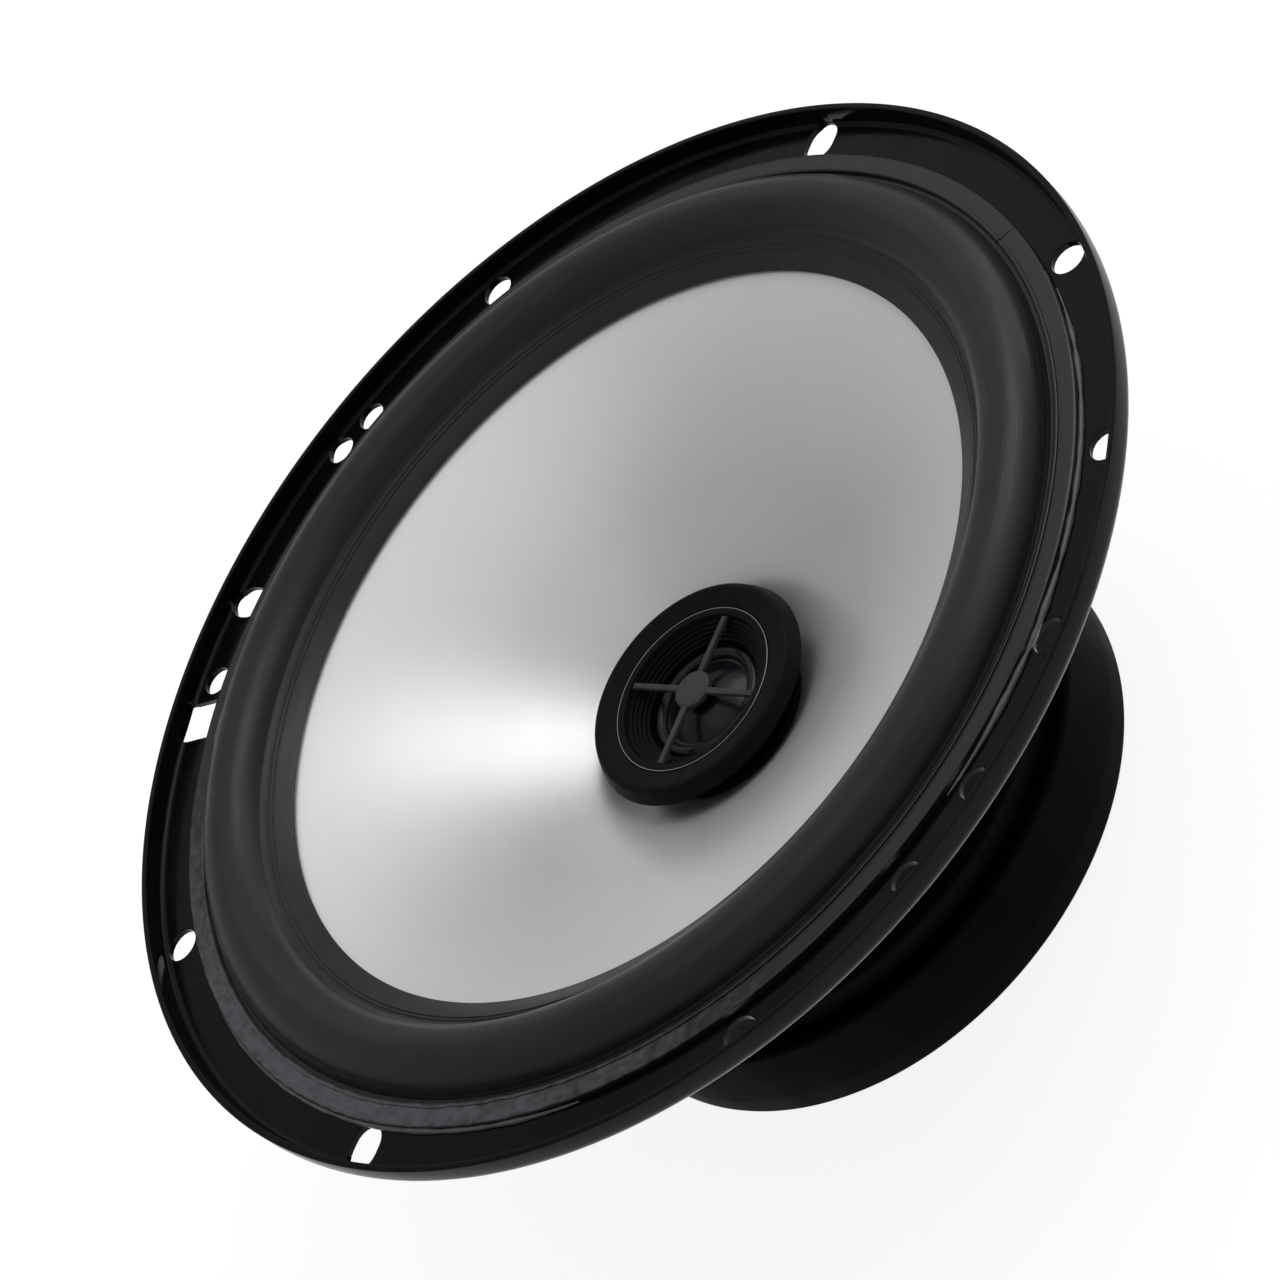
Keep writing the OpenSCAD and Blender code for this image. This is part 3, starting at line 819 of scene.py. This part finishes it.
def terminals(nodes, looks):
    """Fibre board under the arm with two blades, its two rivets and the tweeter's capacitor."""
    top = -SHEET / 2
    low = top - BOARD_T
    board_half, board_side = 7, 10
    plate = rounded(rectangle(-board_half, board_half, board_side), 1.2, closed=True, steps=4)
    board = on_arm(bevel(prism("board_plate", plate, low, top), 0.15))
    looks["board"].on(board)
    fixed(board, "terminal_board")

    blade_t, blade_start, blade_end = 0.8, -3, 15
    tip, tip_in = 1.4, 1.1
    stem_r, stem_low, stem_high = 1.05, low - 0.95, low + BOARD_T + 1.2
    for node, width, side in (("positive_tab", 6.3, 1), ("negative_tab", 4.8, -1)):
        half = width / 2
        blade = [(blade_start, -half), (blade_end - tip, -half), (blade_end, -half + tip_in),
                 (blade_end, half - tip_in), (blade_end - tip, half), (blade_start, half)]
        tab = prism("%s_blade" % node, rounded(blade, 0.3, closed=True, steps=2), low - blade_t, low)
        cut(tab, [prism("cutter", circle(0.9, at=12), low - 3, low + 1)])
        bevel(tab, 0.12)
        pin = [(AXIS, stem_low), (stem_r, stem_low), (stem_r, stem_high), (AXIS, stem_high)]
        stem = lathe("stem", rounded(pin, [0, 0.2, 0.3, 0], closed=True, steps=3), 32)
        tab = join(tab, stem)
        tab.data.transform(Matrix.Translation((0, side * TAB_Y * MM, 0)))
        on_arm(tab)
        looks["tin"].on(tab)
        fixed(tab, node)

    under = SHEET / 2 + 0.06
    head_h, head_r, shank_r = 0.8, 1.7, 1.15
    head = [(AXIS, head_h), (1.2, head_h - 0.02), (head_r, head_h / 2), (head_r, 0), (shank_r, 0)]
    section = [(r, low - z) for r, z in head] + [(r, under + z) for r, z in head[::-1]]
    rivets = []
    for x in (-5.3, 5.3):  # distance from the middle of the board
        rivet = lathe("rivet", section, 32)
        rivet.data.transform(Matrix.Translation((x * MM, 0, 0)))
        rivets.append(rivet)
    pair = on_arm(join(*rivets))
    pair.name = "board_rivets"
    looks["zinc"].on(pair)
    fixed(pair, "terminal_rivets")

    end, crimp = 5.5, -3.9
    can = [(AXIS, -end), (CAPACITOR_R, -end), (CAPACITOR_R, crimp - 0.3), (CAPACITOR_R - 0.2, crimp),
           (CAPACITOR_R, crimp + 0.3), (CAPACITOR_R, end), (CAPACITOR_R - 0.6, end),
           (CAPACITOR_R - 0.7, end - 0.2), (AXIS, end - 0.2)]
    corners = [0, 0.3, 0.2, 0.2, 0.2, 0.35, 0.1, 0.1, 0]
    body = lathe("capacitor_can", rounded(can, corners, closed=True, steps=3), 48)
    body.data.transform(Matrix.Rotation(math.radians(ARM), 4, "Z")
                        @ Matrix.Translation((CAPACITOR_AT * MM, 0, (PLATE_TOP + CAPACITOR_R) * MM))
                        @ Matrix.Rotation(math.radians(-90), 4, "X"))
    looks["sleeve"].on(body)
    fixed(body, "crossover_capacitor")


def wiring(nodes, looks):
    """Braided leads from the tabs to the cone, and the tweeter's red wires."""
    lead_r, sag, near_cone = 0.5, 14, 24
    twists, strand_r, strand_off = 9, 0.26, 0.24
    start = (BOARD_R - 0.4, BOARD_Z + 1.4)
    end = (near_cone, cone_z(math.hypot(near_cone, TAB_Y)) - CONE_T - lead_r - 0.1)
    strands = []
    steps = 60
    for side in (-1, 1):
        for phase in range(3):
            path = []
            for i in range(steps + 1):
                k = i / steps
                turn = 2 * math.pi * (twists * k + phase / 3)
                across = strand_off * math.cos(turn)
                up = strand_off * math.sin(turn)
                path.append((start[0] + (end[0] - start[0]) * k, side * TAB_Y + across,
                             start[1] + (end[1] - start[1]) * k - sag * k * (1 - k) + up))
            strands.append(tube("strand", path, strand_r, 8))
    leads = join(*strands)
    leads.name = "tinsel_pair"
    leads.data.transform(Matrix.Rotation(math.radians(ARM), 4, "Z"))
    looks["braid"].on(leads)
    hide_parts("tinsel_leads")
    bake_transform(leads)
    looks["jacket"].on(nodes["tweeter_leads"])


# ---- tweeter ---------------------------------------------------------------


def tweeter_body(nodes, looks):
    """Looks of the cup and the small motor in it, and the bezel round them."""
    looks["plastic"].on(nodes["tweeter_housing"])
    looks["zinc"].on(nodes["tweeter_pole_plate"], nodes["tweeter_yoke"])
    looks["bright"].on(nodes["tweeter_magnet"])
    looks["copper"].on(nodes["tweeter_coil"])

    inner = INSERT_R + 0.15
    section = [(inner, INSERT_Z), (BEZEL_R - 1.2, BEZEL_FACE), (BEZEL_R, BEZEL_FOOT),
               (BEZEL_R - 0.55, BEZEL_FOOT), (BEZEL_R - 1.15, BEZEL_FOOT + 0.9), (inner, BEZEL_FOOT + 0.25)]
    corners = [0.15, 0.9, 0.2, 0.1, 0.1, 0.1]
    bezel = lathe("bezel_ring", rounded(section, corners, closed=True, steps=8), 192)
    looks["plastic"].on(bezel)
    fixed(bezel, "tweeter_bezel")


def tweeter_front(nodes, looks):
    """Stepped horn whose thin pale metal rim is a painted highlight on its edge, and the cross in front of
    the dome.
    """
    low = INSERT_Z - 0.9  # the cross stands here, on the last of the horn's fine steps
    top = INSERT_Z - 0.1
    steps = 5
    rise, run = (low - HORN_Z) / steps, (GRILLE_R - 0.25 - HORN_R) / steps
    stair = []
    for i in range(steps):
        stair.append((HORN_R + run * i, HORN_Z + rise * (i + 1)))
        stair.append((HORN_R + run * (i + 1), HORN_Z + rise * (i + 1)))
    shoulder, back = -19.6, HORN_Z - 0.8
    outline = [(INSERT_R, INSERT_Z + 0.06), (INSERT_R, shoulder), (INSERT_R - 0.3, shoulder - 0.2),
               (HORN_R + 1.1, back), (HORN_R, back)] + stair
    outline += [(GRILLE_R, INSERT_Z), (INSERT_R - 0.15, INSERT_Z + 0.02)]
    horn = lathe("horn_ring", rounded(outline, 0.07, closed=True, steps=3), 192)
    looks["plastic"].on(horn)
    # painted highlight: the pale metal rim stands in for light caught on the horn's edge
    second_look(horn, looks["painted_rim_highlight"],
                lambda centre: centre.xy.length > INSERT_R - 0.13 and centre.z > INSERT_Z - 0.05)
    fixed(horn, "tweeter_waveguide")

    disc = [(AXIS, low), (HUB_R, low), (HUB_R, top), (HUB_R - 0.5, top + 0.12), (AXIS, top + 0.14)]
    spokes = [lathe("hub", rounded(disc, [0, 0.1, 0.25, 0.3, 0], closed=True, steps=3), 64)]
    half = SPOKE_W / 2
    root, waist, tip = HUB_R - 0.5, GRILLE_R - 0.6, GRILLE_R - 0.22
    blade = [(root, -half - 0.1), (waist, -half), (tip, -half - 0.2),
             (tip, half + 0.2), (waist, half), (root, half + 0.1)]
    for i in range(4):
        spokes.append(bevel(prism("spoke", spin(blade, 90 * i), low, top), 0.12))
    cross = join(*spokes)
    cross.name = "grille_cross"
    looks["cross"].on(cross)
    fixed(cross, "tweeter_grille")


def tweeter_diaphragm(nodes, looks):
    """Film dome and the half roll round it."""
    film = 0.2
    radius = (DOME_R ** 2 + DOME_H ** 2) / (2 * DOME_H)
    foot = 90 - math.degrees(math.asin(DOME_R / radius))
    crown = 89.9
    centre = (0, DOME_Z + DOME_H - radius)
    section = arc(centre, radius, foot, crown, 14) + arc(centre, radius - film, crown, foot, 14)
    cap = lathe("dome_cap", section, 96)
    looks["film"].on(cap)
    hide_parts("tweeter_dome")
    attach(cap, "tweeter_diaphragm")

    z = DOME_Z - film / 2
    roll_r, roll_half = 8, 0.9
    path = [(HORN_R + 1, z), (roll_r + 1, z)] + arc((roll_r, z), roll_half, 0, 180, 12) + [(DOME_R + 0.02, z)]
    edge = lathe("dome_edge_roll", sheet(path, film), 96, smooth_to=50)
    looks["film"].on(edge)
    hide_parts("tweeter_dome_edge")
    flex(edge, roll_r + roll_half, roll_r - roll_half)


# ---- setting ---------------------------------------------------------------


def softbox(name, direction, distance, size, watts):
    """Square area light that faces the speaker from that direction."""
    light = bpy.data.lights.new(name, "AREA")
    light.size = size
    light.energy = watts
    lamp = bpy.data.objects.new(name, light)
    away = Vector(direction).normalized()
    lamp.location = away * distance
    lamp.rotation_euler = away.to_track_quat("Z", "Y").to_euler()
    bpy.context.scene.collection.objects.link(lamp)


def add_floor():
    """Wide pale floor, a hair below the boot so that the two faces don't fight."""
    look = Finish("pale_floor", (0.3, 0.3, 0.3), 0.9, Emission_Color=(1, 1, 1, 1), Emission_Strength=0.85)
    half = 30
    z = (BOOT_BACK - 0.05) * MM
    floor = piece("floor", [(x, y, z) for x, y in rectangle(-half, half, half)], [(0, 1, 2, 3)])
    look.on(floor)


def add_lights():
    """Even white surroundings, and five soft boxes with their distance and size in metres."""
    world = bpy.data.worlds.new("studio")
    bpy.context.scene.world = world
    world.use_nodes = True
    background = world.node_tree.nodes["Background"]
    background.inputs["Color"].default_value = (1, 1, 1, 1)
    background.inputs["Strength"].default_value = 0.38
    softbox("key", (0.66, -0.05, 0.75), 1.0, 0.5, 1.6)
    softbox("low", (0.966, 0, 0.259), 1.2, 0.7, 1.1)
    softbox("side", (0.5, -0.5, 0.707), 1.2, 0.7, 1.2)
    softbox("back", (0.5, 0.5, 0.707), 1.2, 0.7, 0.4)
    softbox("top", (0, 0.09, 1), 1.2, 0.7, 0.6)


def add_camera():
    """Camera held on its side: it stands at place, looks against back and is rolled about that line."""
    place = Vector((-0.15703, -0.34992, 0.28587))
    back = Vector((-0.326998, -0.725310, 0.605804))
    roll = math.radians(-50.55464)
    data = bpy.data.cameras.new("camera")
    data.lens = 99.85
    data.sensor_width = 36
    camera = bpy.data.objects.new("camera", data)
    turn = back.to_track_quat("Z", "Y").to_matrix().to_4x4() @ Matrix.Rotation(roll, 4, "Z")
    camera.matrix_world = Matrix.Translation(place) @ turn
    bpy.context.scene.collection.objects.link(camera)
    bpy.context.scene.camera = camera


# ---- the whole scene -------------------------------------------------------

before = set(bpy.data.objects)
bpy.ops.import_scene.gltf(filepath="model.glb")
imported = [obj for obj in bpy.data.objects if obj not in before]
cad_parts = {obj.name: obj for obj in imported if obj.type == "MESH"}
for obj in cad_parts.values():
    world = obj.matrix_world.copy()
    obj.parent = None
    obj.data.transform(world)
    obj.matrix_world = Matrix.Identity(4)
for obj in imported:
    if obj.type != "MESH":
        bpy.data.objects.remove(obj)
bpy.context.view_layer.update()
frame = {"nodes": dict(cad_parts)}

all_looks = make_looks()
for part in (basket, trim, cone, surround, spider, motor, boot, terminals, wiring,
             tweeter_body, tweeter_front, tweeter_diaphragm):
    part(frame["nodes"], all_looks)
bpy.context.scene.view_settings.view_transform = "Standard"
add_floor()
add_lights()
add_camera()
